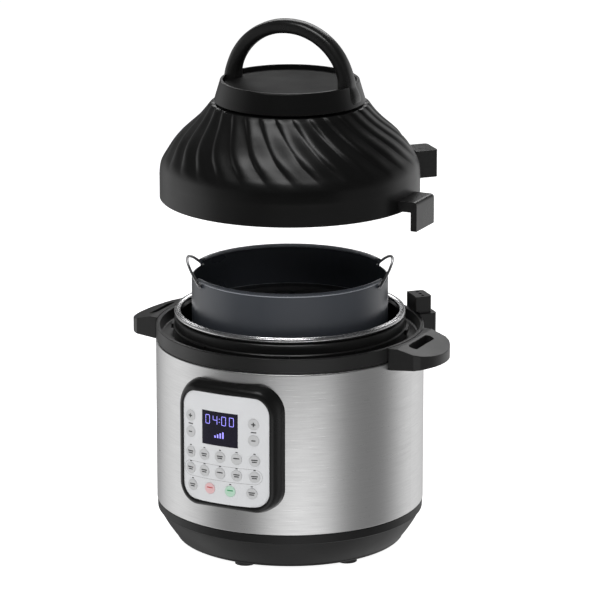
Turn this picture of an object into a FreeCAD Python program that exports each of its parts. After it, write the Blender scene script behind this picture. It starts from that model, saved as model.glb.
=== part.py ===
import FreeCAD, Part
import math
import os
import re
import Sketcher

# An electric pressure cooker with an air-frying lid, taken apart upwards: the cooker stands on its
# feet, the basket is half lifted out of the inner pot, and the lid hangs clear above both.
# +Z is up, the control panel faces -Y and the two side handles point along +X and -X.

SIZES = {
    # main envelope
    "shell_radius": 147.0,
    "shell_wall": 0.9,
    "shell_lip": 1.2,
    "foot_height": 4.0,
    "foot_radius": 11.0,
    "base_inset": 21.0,
    "base_cone": 32.0,
    "base_band": 10.6,
    "band_height": 180.0,
    "base_wall": 2.4,
    "slack": 0.3,
    # black ring round the top, and the locking ring inside it
    "rim_height": 17.2,
    "rim_wall": 4.4,
    "channel_depth": 12.0,
    "lock_height": 21.5,
    "lug_reach": 2.4,
    "lug_count": 8,
    # outer pot, heating plate and inner pot
    "pot_gap": 22.4,
    "outer_pot_wall": 0.8,
    "outer_pot_floor": 62.0,
    "plate_height": 11.0,
    "pot_clearance": 3.4,
    "pot_wall": 1.2,
    "sensor_radius": 14.0,
    "stem_radius": 5.0,
    # side handles
    "handle_length": 40.5,
    "handle_width": 92.0,
    "handle_skirt": 24.5,
    "handle_tip": 22.0,
    "handle_slope": 11.5,
    "slot_offset": 11.0,
    "slot_length": 50.0,
    "slot_width": 10.0,
    # control panel
    "panel_depth": 15.0,
    "panel_radius": 175.0,
    "panel_width": 103.0,
    "panel_height": 122.0,
    "panel_corner": 17.0,
    "panel_skin": 1.6,
    "bezel_rim": 5.5,
    "bezel_draft": 10.0,
    "screen_width": 43.0,
    "screen_height": 37.5,
    "screen_x": -4.6,
    "board_depth": 13.2,
    "key_radius": 6.1,
    "key_proud": 0.6,
    "key_travel": 0.5,
    "key_depth": 3.0,
    # basket
    "basket_clearance": 13.8,
    "basket_wall": 1.4,
    "basket_lift": 64.5,
    "bead_radius": 1.9,
    "tray_drop": 45.0,
    "wire_radius": 1.5,
    "wire_end": 13.0,
    "wire_chord": 51.0,
    "wire_rise": 24.0,
    "wire_drop": 8.0,
    "wire_lean": 38.0,
    "notch_depth": 8.4,
    "basket_turn": 26.0,
    # lid
    "lid_lift": 82.0,
    "lid_inset": 5.5,
    "lid_wall": 2.4,
    "skirt_height": 27.0,
    "shoulder_radius": 47.1,
    "vent_gap": 3.0,
    "dome_opening": 58.0,
    "collar_radius": 82.0,
    "collar_height": 22.6,
    "well_depth": 6.5,
    "arch_thick": 12.5,
    "arch_width": 19.0,
    "boss_radius": 11.5,
    "hook_width": 45.6,
    "hook_thick": 7.0,
    "hook_drop": 17.5,
    "hook_arm": 11.5,
    "fan_radius": 62.0,
    "fan_blades": 8,
    "shaft_radius": 3.0,
    # power socket tower on the cooker and the plug hood on the lid, at one azimuth
    "tower_angle": 46.0,
    "tower_width": 28.0,
    "pedestal_width": 34.0,
    "tower_height": 18.2,
    "hood_overhang": 19.5,
    "hood_low": 11.0,
    "hood_width": 34.0,
    "hood_height": 41.0,
    "hood_cavity": 20.0,
    "pin_radius": 1.6,
    "pin_pitch": 8.0,
    # rear of the cooker
    "cup_width": 56.0,
    "cup_height": 52.0,
    "inlet_width": 34.0,
    "inlet_height": 24.0,
    "inlet_depth": 24.0,
    "inlet_wall": 3.0,
}

# Sizes that follow from the ones above, so that a change to one of those carries through.
DERIVED = {
    "band_low": "(foot_height + base_cone + base_band)",
    "rim_top": "(band_low + band_height + rim_height)",
    "base_radius": "(shell_radius - base_inset)",
    "foot_ring": "(base_radius - 15)",
    "outer_pot_radius": "(shell_radius - pot_gap)",
    "lock_radius": "(outer_pot_radius + 3)",
    "channel_inner": "(lock_radius + 1.2)",
    "pot_radius": "(outer_pot_radius - pot_clearance)",
    "pot_rim_radius": "(pot_radius + 5.8)",
    "plate_radius": "(pot_radius - 19.2)",
    "pot_floor": "(outer_pot_floor + 17)",
    "pot_height": "(rim_top + 16.6 - pot_floor)",
    "handle_reach": "(shell_radius + handle_length)",
    "handle_corner": "(handle_reach - 13.5)",
    "slot_radius": "(shell_radius + slot_offset)",
    "panel_front": "(shell_radius + panel_depth)",
    "panel_middle": "(band_low + band_height * 0.5355)",
    "screen_z": "(panel_middle + 22.6)",
    "basket_radius": "(pot_radius - basket_clearance)",
    "basket_floor": "(pot_floor + pot_wall + slack + basket_lift)",
    "basket_height": "(pot_height - 21.4)",
    "tray_radius": "(basket_radius - 17.4)",
    "wire_pivot": "(sqrt((basket_radius + 2.4)^2 - wire_chord^2))",
    "lid_bottom": "(basket_floor + basket_height + lid_lift)",
    "lid_radius": "(shell_radius - lid_inset)",
    "collar_top_radius": "(collar_radius - 6.4)",
    "dome_height": "(skirt_height + shoulder_radius * 0.4142 + lid_radius - collar_radius - 2)",
    "arch_radius": "(collar_radius - 2)",
    "arch_centre": "(dome_height + 12.5)",
    "hook_reach": "(slot_radius + hook_thick / 2)",
    "tower_inner": "(shell_radius - 3.4)",
    "tower_outer": "(shell_radius + 15)",
    "pedestal_outer": "(shell_radius + 20)",
    "tower_top": "(rim_top + tower_height)",
    "tower_bottom": "(tower_top - 48)",
    "pin_ring": "(shell_radius + 6)",
    "hood_outer": "(shell_radius + hood_overhang)",
    "cup_front": "(shell_radius + 2.2)",
    "cup_back": "(panel_front + 0.9)",
    "cup_bottom": "(band_low + 103.4)",
    "inlet_back": "shell_radius",
}

# Where the round touch keys sit on the curved face, seen from the front: (name, across, height above
# the panel's middle).
KEY_COLUMNS = [-41.5, -23.5, -4.0, 15.5, 35.5]
KEY_ROWS = {"lower": -26.8, "upper": -8.6}
KEYS = [("left_plus", -41.5, 32.0), ("left_minus", -41.5, 14.0)]
KEYS += [("right_plus", 34.5, 32.0), ("right_minus", 34.5, 14.0)]
for row, height in KEY_ROWS.items():
    for column, across in enumerate(KEY_COLUMNS, 1):
        KEYS.append((f"{row}_{column}", across, height))
KEYS += [("keep_warm", -39.0, -45.4), ("cancel", -16.5, -45.4)]
KEYS += [("start", 8.0, -45.4), ("delay", 32.5, -45.4)]

doc = FreeCAD.newDocument("electric_pressure_cooker")
sheet = doc.addObject("Spreadsheet::Sheet", "Size")
for line, (word, value) in enumerate(SIZES.items(), 1):
    sheet.set(f"A{line}", word)
    sheet.set(f"B{line}", str(value))
    sheet.setAlias(f"B{line}", word)
doc.recompute()

NODES = {}


def spelled(text):
    """An expression with every derived size written out in the sheet's own sizes."""
    text = str(text)
    while True:
        longer = re.sub(r"[a-z][a-z_]+", lambda m: DERIVED.get(m[0], m[0]), text)
        if longer == text:
            return text
        text = longer


def bound(text):
    """An expression for a part's property, with each size read from the sheet."""
    return re.sub(r"[a-z][a-z_]+", lambda m: "Size." + m[0] if m[0] in SIZES else m[0], spelled(text))


def number(text):
    """What an expression in the sheet's sizes comes to now."""
    value = sheet.evalExpression(spelled(text))
    return float(getattr(value, "Value", value))


def keep(label, obj):
    """Makes an object a sub-part: its Label is the node's and the file's name."""
    obj.Label = label
    NODES[label] = obj
    return obj


def place(obj, x=0, y=0, z=0, yaw=0, pitch=0, roll=0):
    """Binds an object's position and turn to expressions."""
    if number(yaw) > 180:
        yaw = f"{yaw} - 360"
    words = {"Base.x": x, "Base.y": y, "Base.z": z}
    words.update({"Rotation.Yaw": yaw, "Rotation.Pitch": pitch, "Rotation.Roll": roll})
    turn = FreeCAD.Rotation(number(yaw), number(pitch), number(roll))
    spot = FreeCAD.Vector(number(x), number(y), number(z))
    obj.Placement = FreeCAD.Placement(spot, turn)
    for path, text in words.items():
        if str(text) != "0":
            obj.setExpression(f"Placement.{path}", bound(text))
    return obj


def cylinder(radius, height, x=0, y=0, z=0, yaw=0, pitch=0, roll=0):
    obj = doc.addObject("Part::Cylinder", "cylinder")
    obj.setExpression("Radius", bound(radius))
    obj.setExpression("Height", bound(height))
    return place(obj, x, y, z, yaw, pitch, roll)


def cone(radius_low, radius_high, height, z):
    obj = doc.addObject("Part::Cone", "cone")
    obj.setExpression("Radius1", bound(radius_low))
    obj.setExpression("Radius2", bound(radius_high))
    obj.setExpression("Height", bound(height))
    return place(obj, z=z)


def torus(ring, wire, z, x=0, sweep="360", yaw=0, pitch=0, roll=0):
    obj = doc.addObject("Part::Torus", "torus")
    obj.setExpression("Radius1", bound(ring))
    obj.setExpression("Radius2", bound(wire))
    obj.setExpression("Angle3", bound(sweep))
    return place(obj, x, 0, z, yaw, pitch, roll)


def block(x0, x1, y0, y1, z0, z1, yaw=0):
    """A box between two corners, turned about the Z axis by yaw afterwards."""
    obj = doc.addObject("Part::Box", "block")
    for word, low, high in (("Length", x0, x1), ("Width", y0, y1), ("Height", z0, z1)):
        obj.setExpression(word, bound(f"({high}) - ({low})"))
    across = f"({x0}) * cos({yaw}) - ({y0}) * sin({yaw})"
    along = f"({x0}) * sin({yaw}) + ({y0}) * cos({yaw})"
    return place(obj, across, along, z0, yaw=yaw)


def cut(base, *tools):
    obj = doc.addObject("Part::Cut", "cut")
    obj.Base = base
    obj.Tool = tools[0] if len(tools) == 1 else group(*tools)
    return obj


def fuse(*parts):
    obj = doc.addObject("Part::MultiFuse", "fuse")
    obj.Shapes = list(parts)
    return obj


def common(*parts):
    obj = doc.addObject("Part::MultiCommon", "common")
    obj.Shapes = list(parts)
    return obj


def group(*parts):
    """Separate solids that share one node, or several tools of one cut."""
    obj = doc.addObject("Part::Compound", "group")
    obj.Links = list(parts)
    return obj


def outline(body, points, plane="XZ_Plane", offset="0"):
    """A closed sketch through points of (across, up), or (across, up, radius, side) where an arc of that
    radius runs on to the next point, bulging to the left or right of the way it goes."""
    sketch = body.newObject("Sketcher::SketchObject", "Outline")
    base = [f for f in body.Origin.OriginFeatures if f.Role == plane][0]
    sketch.AttachmentSupport = [(base, "")]
    sketch.MapMode = "FlatFace"
    if offset != "0":
        sketch.setExpression("AttachmentOffset.Base.z", bound(offset))
    spots = [FreeCAD.Vector(number(p[0]), number(p[1]), 0) for p in points]
    ends = []
    for n, point in enumerate(points):
        start, stop = spots[n], spots[(n + 1) % len(points)]
        if len(point) == 2:
            edge = sketch.addGeometry(Part.LineSegment(start, stop))
            ends.append((edge, 1, 2))
            continue
        radius = number(point[2])
        chord = stop - start
        left = FreeCAD.Vector(-chord.y, chord.x, 0).normalize()
        reach = math.sqrt(max(radius**2 - chord.Length**2 / 4, 0))
        bulges_left = point[3] == "left"
        centre = (start + stop) * 0.5 + left * (-reach if bulges_left else reach)
        first, last = (stop, start) if bulges_left else (start, stop)
        angles = [math.atan2(v.y - centre.y, v.x - centre.x) for v in (first, last)]
        circle = Part.Circle(centre, FreeCAD.Vector(0, 0, 1), radius)
        edge = sketch.addGeometry(Part.ArcOfCircle(circle, *angles))
        ends.append((edge, 2, 1) if bulges_left else (edge, 1, 2))
    for n, (edge, begin, end) in enumerate(ends):
        next_edge, next_begin, _ = ends[(n + 1) % len(ends)]
        sketch.addConstraint(Sketcher.Constraint("Coincident", edge, end, next_edge, next_begin))
        across, up = points[n][:2]
        if across == "0":
            sketch.addConstraint(Sketcher.Constraint("PointOnObject", edge, begin, -2))
        else:
            fix = Sketcher.Constraint("DistanceX", -1, 1, edge, begin, spots[n].x)
            sketch.setExpression(f"Constraints[{sketch.addConstraint(fix)}]", bound(across))
        fix = Sketcher.Constraint("DistanceY", -1, 1, edge, begin, spots[n].y)
        sketch.setExpression(f"Constraints[{sketch.addConstraint(fix)}]", bound(up))
        if len(points[n]) > 2:
            fix = Sketcher.Constraint("Radius", edge, number(points[n][2]))
            sketch.setExpression(f"Constraints[{sketch.addConstraint(fix)}]", bound(points[n][2]))
    return sketch


def turned(points, sweep=360):
    """A body turned on a lathe: a profile of (radius, height) about the Z axis."""
    body = doc.addObject("PartDesign::Body", "Turned")
    sketch = outline(body, points)
    turn = body.newObject("PartDesign::Revolution", "Turn")
    turn.Profile = sketch
    turn.ReferenceAxis = (sketch, ["V_Axis"])
    turn.Angle = sweep
    return body


def extruded(points, length, plane="XZ_Plane", side="Symmetric", offset="0", taper="0", back=False):
    """A body padded from a flat outline."""
    body = doc.addObject("PartDesign::Body", "Padded")
    sketch = outline(body, points, plane, offset)
    pad = body.newObject("PartDesign::Pad", "Pad")
    pad.Profile = sketch
    pad.setExpression("Length", bound(length))
    pad.SideType = side
    pad.Reversed = back
    if taper != "0":
        pad.setExpression("TaperAngle", bound(taper))
    return body


def rounded_oblong(width, height, corner, middle):
    """The eight points of an upright oblong with round corners, centred across."""
    w, h, c = f"({width}) / 2", f"({height}) / 2", f"({corner})"
    low, high = f"{middle} - {h}", f"{middle} + {h}"
    return [
        (f"{w} - {c}", low, corner, "right"),
        (w, f"{low} + {c}"),
        (w, f"{high} - {c}", corner, "right"),
        (f"{w} - {c}", high),
        (f"{c} - {w}", high, corner, "right"),
        (f"-{w}", f"{high} - {c}"),
        (f"-{w}", f"{low} + {c}", corner, "right"),
        (f"{c} - {w}", low),
    ]


# Heights that several pieces share, as expressions in the sheet's sizes.
BAND_LOW = "band_low"
BAND_HIGH = f"({BAND_LOW} + band_height)"
RIM_TOP = "rim_top"
CHANNEL_FLOOR = f"({RIM_TOP} - channel_depth)"
POT_RIM = "(pot_floor + pot_height)"
BASKET_RIM = "(basket_floor + basket_height)"
DOME_TOP = "(lid_bottom + dome_height)"
COLLAR_LOW = f"({DOME_TOP} + vent_gap)"
COLLAR_HIGH = f"({COLLAR_LOW} + collar_height)"
PANEL_AXIS = "(panel_radius - panel_front)"
INLET_TOP = f"({BAND_LOW} - 0.5)"
INLET_LOW = f"({INLET_TOP} - inlet_height)"


def outer_shell():
    """The brushed steel band, rolled inwards at both edges, with a window behind the panel."""
    inner = "shell_radius - shell_wall"
    band = turned([
        ("shell_radius - 3", BAND_LOW),
        ("shell_radius - shell_lip", BAND_LOW, "shell_lip", "right"),
        ("shell_radius", f"{BAND_LOW} + shell_lip"),
        ("shell_radius", f"{BAND_HIGH} - shell_lip", "shell_lip", "right"),
        ("shell_radius - shell_lip", BAND_HIGH),
        ("shell_radius - 3", BAND_HIGH),
        ("shell_radius - 3", f"{BAND_HIGH} - shell_wall"),
        (inner, f"{BAND_HIGH} - shell_wall - 0.6"),
        (inner, f"{BAND_LOW} + shell_wall + 0.6"),
        ("shell_radius - 3", f"{BAND_LOW} + shell_wall"),
    ])
    window = block("-panel_width / 2 + 6", "panel_width / 2 - 6", "-shell_radius - 5", "-shell_radius * 0.75",
                   "panel_middle - panel_height / 2 + 8", "panel_middle + panel_height / 2 - 8")
    keep("outer_shell", cut(band, window))


def base_housing():
    """The black bowl under the band, with a step line round it and a flat floor inside."""
    low = "foot_height"
    step = f"{low} + base_cone"
    bowl = turned([
        ("0", low),
        ("base_radius - 3", low, "3", "right"),
        ("base_radius", f"{low} + 3", "160", "right"),
        ("shell_radius - 2.2", step),
        ("shell_radius - 0.8", f"{step} + 1"),
        ("shell_radius - 0.5", f"{BAND_LOW} - slack"),
        ("shell_radius - 3.4", f"{BAND_LOW} - slack"),
        ("shell_radius - 3.4", f"{BAND_LOW} + 6"),
        ("shell_radius - 5.4", f"{BAND_LOW} + 6"),
        ("shell_radius - 5.4", f"{step} + 1", "160", "left"),
        ("base_radius - base_wall - 1", f"{low} + 5"),
        ("base_radius - base_wall - 4", f"{low} + base_wall"),
        ("0", f"{low} + base_wall"),
    ])
    recess = block("-inlet_width / 2 - slack", "inlet_width / 2 + slack", "shell_radius * 0.75",
                   "shell_radius + 5", f"{INLET_LOW} - slack", f"{INLET_TOP} + slack")
    vents = [
        block("-14", "14", f"{n * 9} - 2", f"{n * 9} + 2", "foot_height - 1", "foot_height + base_wall + 1")
        for n in range(-3, 4)
    ]
    keep("base_housing", cut(bowl, recess, *vents))


def feet():
    """Six rubber pads under the base."""
    pads = [
        cylinder("foot_radius", "foot_height - 0.1", f"foot_ring * cos({a})", f"foot_ring * sin({a})")
        for a in range(30, 360, 60)
    ]
    keep("rubber_feet", group(*pads))


def top_housing():
    """The black ring with a deep channel that catches condensation."""
    rim = "shell_radius - 0.4"
    under = "channel_inner - 3"
    ring = turned([
        ("shell_radius - 6.4", f"{BAND_HIGH} - 10"),
        ("shell_radius - 3.4", f"{BAND_HIGH} - 10"),
        ("shell_radius - 3.4", f"{BAND_HIGH} + slack"),
        (f"{rim} - 1", f"{BAND_HIGH} + slack"),
        (f"{rim} - 1", f"{BAND_HIGH} + 2.4"),
        (rim, f"{BAND_HIGH} + 2.8"),
        (rim, f"{RIM_TOP} - 1", "1", "right"),
        (f"{rim} - 1", RIM_TOP),
        (f"{rim} - rim_wall + 1", RIM_TOP, "1", "right"),
        (f"{rim} - rim_wall", f"{RIM_TOP} - 1"),
        (f"{rim} - rim_wall - 1", f"{CHANNEL_FLOOR} + 2", "2", "left"),
        (f"{rim} - rim_wall - 3", CHANNEL_FLOOR),
        (under, CHANNEL_FLOOR),
        (under, f"{CHANNEL_FLOOR} - 2.2"),
        ("shell_radius - 6.4", f"{CHANNEL_FLOOR} - 2.2"),
    ])
    keep("top_housing", ring)


def side_handle(label, yaw):
    """A lug-shaped side handle with a slot through it, built pointing along +X."""
    root = "shell_radius + slack"
    half = "handle_width / 2"
    plan = extruded([
        ("shell_radius * 0.8", f"-{half}"),
        ("shell_radius * 0.97", f"-{half}"),
        ("handle_corner - 6", f"-{half} + 4"),
        ("handle_corner", f"-{half} + 9", "62", "right"),
        ("handle_corner", f"{half} - 9"),
        ("handle_corner - 6", f"{half} - 4"),
        ("shell_radius * 0.97", half),
        ("shell_radius * 0.8", half),
    ], "60", plane="XY_Plane", side="One side", offset=f"{RIM_TOP} - 50")
    side = extruded([
        ("shell_radius * 0.8", f"{RIM_TOP} - handle_skirt"),
        ("shell_radius * 0.97", f"{RIM_TOP} - handle_skirt"),
        ("handle_reach + 5", f"{RIM_TOP} - handle_tip"),
        ("handle_reach + 5", f"{RIM_TOP} - handle_slope - 1.4"),
        ("shell_radius + 3", f"{RIM_TOP} - 0.4"),
        ("shell_radius * 0.8", f"{RIM_TOP} - 0.4"),
    ], "handle_width + 20")
    solid = common(plan, side)
    slot = extruded(rounded_oblong("slot_width", "slot_length", "slot_width / 2 - 0.5", "0"), "60",
                    plane="XY_Plane", side="One side", offset=f"{RIM_TOP} - 50")
    place(slot, x="slot_radius")
    bore = cylinder(root, "80", z=f"{RIM_TOP} - 60")
    body = cut(solid, slot, bore)
    turned_round = group(body)
    place(turned_round, yaw=yaw)
    keep(label, turned_round)


def locking_ring():
    """The dark ring under the pot's rim, with bayonet lugs outside."""
    low = f"{CHANNEL_FLOOR} + slack"
    inner = "outer_pot_radius - 1.4"
    ring = turned([
        (inner, low),
        ("lock_radius", low),
        ("lock_radius", f"{low} + lock_height * 0.45"),
        ("lock_radius - 1.2", f"{low} + lock_height * 0.5"),
        ("lock_radius - 1.2", f"{low} + lock_height - 1"),
        ("lock_radius - 2.2", f"{low} + lock_height"),
        (inner, f"{low} + lock_height"),
    ])
    lugs = []
    for n in range(SIZES["lug_count"]):
        yaw = n * 360 / SIZES["lug_count"] + 20
        lugs.append(block("lock_radius - 2.2", "lock_radius + lug_reach", "-13", "13",
                          f"{low} + 5", f"{low} + 10", yaw=yaw))
    trim = cylinder("lock_radius + lug_reach", "60", z=f"{low} - 20")
    keep("locking_ring", fuse(ring, common(trim, group(*lugs))))


def outer_pot():
    """The thin steel pot that carries the heating plate."""
    inner = "outer_pot_radius - outer_pot_wall"
    top = f"{CHANNEL_FLOOR} - 2.5"
    keep("outer_pot", turned([
        ("stem_radius + 1.5", "outer_pot_floor"),
        ("outer_pot_radius - 4", "outer_pot_floor", "4", "right"),
        ("outer_pot_radius", "outer_pot_floor + 4"),
        ("outer_pot_radius", f"{top} - outer_pot_wall"),
        ("outer_pot_radius + 8", f"{top} - outer_pot_wall"),
        ("outer_pot_radius + 8", top),
        (inner, top),
        (inner, "outer_pot_floor + 4", "4 - outer_pot_wall", "left"),
        ("outer_pot_radius - 4", "outer_pot_floor + outer_pot_wall"),
        ("stem_radius + 1.5", "outer_pot_floor + outer_pot_wall"),
    ]))


def heating_plate():
    """A cast plate with a raised contact face and its ring-shaped element cast in underneath."""
    low = "(outer_pot_floor + outer_pot_wall + slack)"
    top = "pot_floor - slack"
    plate = turned([
        ("sensor_radius + 3", f"{top} - plate_height"),
        ("plate_radius - 2", f"{top} - plate_height"),
        ("plate_radius", f"{top} - plate_height + 2"),
        ("plate_radius", f"{top} - 2"),
        ("plate_radius - 2", top),
        ("sensor_radius + 3", top),
    ])
    legs = [
        cylinder("4", f"{top} - plate_height - {low} + 0.5", f"plate_radius * 0.8 * cos({a})",
                 f"plate_radius * 0.8 * sin({a})", low)
        for a in (90, 210, 330)
    ]
    element = torus("plate_radius * 0.72", "3.4", f"{top} - plate_height - 0.4")
    keep("heating_plate", fuse(plate, element, *legs))


def temperature_sensor():
    """The sprung button in the middle of the heating plate, and its spring on the outer pot's floor."""
    top = "pot_floor - slack - 0.1"
    flange = f"{top} - 5"
    spring_low = "outer_pot_floor + outer_pot_wall + slack"
    wire = "0.7"
    keep("temperature_sensor", turned([
        ("0", f"{top} - 14"),
        ("stem_radius", f"{top} - 14"),
        ("stem_radius", flange),
        ("sensor_radius", flange),
        ("sensor_radius", f"{top} - 1.5"),
        ("sensor_radius - 1.5", top),
        ("0", top),
    ]))
    pitch = f"(({flange}) - ({spring_low}) - 2 * {wire} - 0.2) / 4"
    turns = [torus("stem_radius + 3", wire, f"{spring_low} + {wire} + {n} * {pitch}") for n in range(5)]
    keep("sensor_spring", group(*turns))


def inner_pot():
    """The stainless pot with a rolled rim."""
    inner = "pot_radius - pot_wall"
    rim = "pot_rim_radius"
    pot = turned([
        ("0", "pot_floor"),
        ("pot_radius - 12", "pot_floor", "12", "right"),
        ("pot_radius", "pot_floor + 12"),
        ("pot_radius", f"{POT_RIM} - 9"),
        (f"{rim} - 2.4", f"{POT_RIM} - 4.2"),
        (f"{rim} - 2.4", f"{POT_RIM} - 3.6"),
        (f"{rim} - 1.8", f"{POT_RIM} - 3.6", "1.85", "right"),
        (f"{rim} - 1.8", POT_RIM),
        (f"{rim} - 3.6", POT_RIM),
        (inner, f"{POT_RIM} - 7.4"),
        (inner, "pot_floor + 12", "12 - pot_wall", "left"),
        ("pot_radius - 12", "pot_floor + pot_wall"),
        ("0", "pot_floor + pot_wall"),
    ])
    keep("inner_pot", pot)


def power_parts():
    """What the base holds: the power board, the mains inlet at the rear and the fixing screws."""
    floor = "foot_height + base_wall"
    parts = [
        block("-52", "38", "-48", "48", f"{floor} + 8", f"{floor} + 9.6"),
        block("-44", "-20", "-40", "-12", f"{floor} + 9.6", f"{floor} + 30"),
        block("-40", "-22", "2", "26", f"{floor} + 9.6", f"{floor} + 25"),
        block("0", "28", "-34", "-14", f"{floor} + 9.6", f"{floor} + 22"),
        cylinder("8", "22", "8", "18", f"{floor} + 9.6"),
    ]
    posts = [cylinder("3", "8.2", x, y, floor) for x in ("-46", "32") for y in ("-42", "42")]
    keep("power_board", fuse(*parts, *posts))
    half = "inlet_width / 2"
    bottom = "inlet_back - inlet_depth + 7"
    body = block(f"-{half}", half, "inlet_back - inlet_depth", "inlet_back", INLET_LOW, INLET_TOP)
    well = block(f"inlet_wall - {half}", f"{half} - inlet_wall", bottom, "inlet_back + 1",
                 f"{INLET_LOW} + inlet_wall", f"{INLET_TOP} - inlet_wall")
    keep("power_inlet", cut(body, well))
    blades = [
        block(f"{x} - 1", f"{x} + 1", bottom, "inlet_back - 3", f"{INLET_LOW} + {z}",
              f"{INLET_LOW} + {z} + 7")
        for x, z in ((-8, 6), (8, 6), (0, 13))
    ]
    keep("inlet_blades", group(*blades))
    screws = [
        cylinder("3.2", "2", f"86 * cos({a})", f"86 * sin({a})", "foot_height - 2.1")
        for a in (0, 90, 180, 270)
    ]
    keep("base_screws", group(*screws))


def rounded_tower(x0, x1, width, z0, z1, corner):
    """An upright block with round vertical edges, at the tower's azimuth."""
    half = f"({width}) / 2"
    plan = [
        (x0, f"-({half})"),
        (f"({x1}) - {corner}", f"-({half})", corner, "right"),
        (x1, f"-({half}) + {corner}"),
        (x1, f"({half}) - {corner}", corner, "right"),
        (f"({x1}) - {corner}", half),
        (x0, half),
    ]
    body = extruded(plan, f"({z1}) - ({z0})", plane="XY_Plane", side="One side", offset=z0)
    return place(body, yaw="tower_angle")


def lid_pins(radius, height, z):
    """Three upright pins in a row across the tower's azimuth."""
    return [
        cylinder(radius, height, f"pin_ring * cos(tower_angle) - {n} * pin_pitch * sin(tower_angle)",
                 f"pin_ring * sin(tower_angle) + {n} * pin_pitch * cos(tower_angle)", z)
        for n in (-1, 0, 1)
    ]


def lid_power_socket():
    """The tower behind the right handle that the lid plugs into."""
    tower = rounded_tower("shell_radius * 0.9", "tower_outer", "tower_width", "tower_bottom",
                          "tower_top", "4")
    pedestal = rounded_tower("shell_radius * 0.9", "pedestal_outer", "pedestal_width", "tower_bottom",
                             "tower_top - 19", "5")
    above = cut(fuse(tower, pedestal), cylinder("shell_radius + slack", "200", z="tower_bottom - 20"))
    neck = common(tower, cut(
        cylinder("shell_radius + 3", f"tower_top - {RIM_TOP} - 1", z=f"{RIM_TOP} + 1"),
        cylinder("tower_inner", "100", z=f"{RIM_TOP} - 10"),
    ))
    holes = lid_pins("pin_radius + 0.5", "16", "tower_top - 14")
    keep("lid_power_socket", cut(fuse(above, neck), *holes))


def panel_cylinder(radius, inner, outer, across, height):
    """A round pin square to the panel's curved face, from one distance to another off its axis."""
    lean = f"asin({across} / panel_radius)"
    return cylinder(radius, f"({outer}) - ({inner})", f"({inner}) * sin({lean})",
                    f"{PANEL_AXIS} - ({inner}) * cos({lean})", f"panel_middle + {height}",
                    yaw=lean, roll="90")


def panel_bezel():
    """The black frame of the control panel, standing proud of the steel band."""
    width = "panel_width + 2 * bezel_rim"
    height = "panel_height + 2 * bezel_rim"
    solid = extruded(rounded_oblong(width, height, "panel_corner + bezel_rim", "panel_middle"), "40",
                     side="One side", offset="panel_front + 2", taper="bezel_draft", back=True)
    face = cylinder("panel_radius + 1", "400", y=PANEL_AXIS)
    frame = common(solid, face)
    well = extruded(rounded_oblong("panel_width + 0.6", "panel_height + 0.6", "panel_corner", "panel_middle"),
                    "60", side="One side", offset="panel_front + 10", back=True)
    behind = cylinder("shell_radius + slack", "400")
    shelf_hole = extruded(
        rounded_oblong("panel_width - 7", "panel_height - 7", "panel_corner - 4", "panel_middle"),
        "80", side="One side", offset="panel_front + 10", back=True)
    seat = cut(well, cylinder("panel_radius - panel_skin - slack", "400", y=PANEL_AXIS))
    keep("panel_bezel", cut(frame, seat, behind, shelf_hole))


def panel_faceplate():
    """The thin curved silver face, with a hole for each key and a window for the display."""
    plate = extruded(rounded_oblong("panel_width", "panel_height", "panel_corner - slack", "panel_middle"),
                     "80", side="One side", offset="panel_front + 10", back=True)
    skin = cut(cylinder("panel_radius", "400", y=PANEL_AXIS),
               cylinder("panel_radius - panel_skin", "400", y=PANEL_AXIS))
    holes = [
        panel_cylinder("key_radius + 0.3", "panel_radius - 6", "panel_radius + 6", across, height)
        for _, across, height in KEYS
    ]
    half_w, half_h = "(screen_width / 2 + 0.2)", "(screen_height / 2 + 0.2)"
    window = block(f"screen_x - {half_w}", f"screen_x + {half_w}", "-panel_front - 5", "-panel_front + 20",
                   f"screen_z - {half_h}", f"screen_z + {half_h}")
    keep("panel_faceplate", cut(common(plate, skin), window, *holes))


def display():
    """The dark display window, flush with the faceplate."""
    half_w, half_h = "screen_width / 2", "screen_height / 2"
    front = block(f"screen_x - {half_w}", f"screen_x + {half_w}", "-panel_front - 5", "-panel_front + 20",
                  f"screen_z - {half_h}", f"screen_z + {half_h}")
    lens = cut(cylinder("panel_radius - 0.1", "400", y=PANEL_AXIS),
               cylinder("panel_radius - panel_skin", "400", y=PANEL_AXIS))
    keep("display_window", common(front, lens))


def control_board():
    """The board behind the panel, with the display module and a switch for each key standing on it."""
    front = "board_depth - panel_front"
    half_w, half_h = "(screen_width / 2 - 1)", "(screen_height / 2 - 1)"
    board = block("-panel_width / 2 + 6", "panel_width / 2 - 6", front, f"{front} + 1.6",
                  "panel_middle - panel_height / 2 + 10", "panel_middle + panel_height / 2 - 10")
    module = block(f"screen_x - {half_w}", f"screen_x + {half_w}", "-panel_front + panel_skin + 3",
                   f"{front} + 0.5", f"screen_z - {half_h}", f"screen_z + {half_h}")
    switches = []
    for _, across, height in KEYS:
        lean = f"asin({across} / panel_radius)"
        stop = "(panel_radius + key_proud - key_depth - key_travel - slack - 0.6)"
        length = f"({stop} * cos({lean}) - {PANEL_AXIS}) - (panel_front - board_depth) + 0.4"
        switches.append(cylinder("2.2", length, f"{stop} * sin({lean})", f"{front} + 0.4",
                                 f"panel_middle + {height}", roll="90"))
    keep("control_board", fuse(board, module, *switches))


def touch_keys():
    """The round keys, each free to travel into the panel."""
    for name, across, height in KEYS:
        outer = "panel_radius + key_proud"
        keep(f"touch_key_{name}", panel_cylinder("key_radius", f"{outer} - key_depth", outer, across, height))


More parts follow.
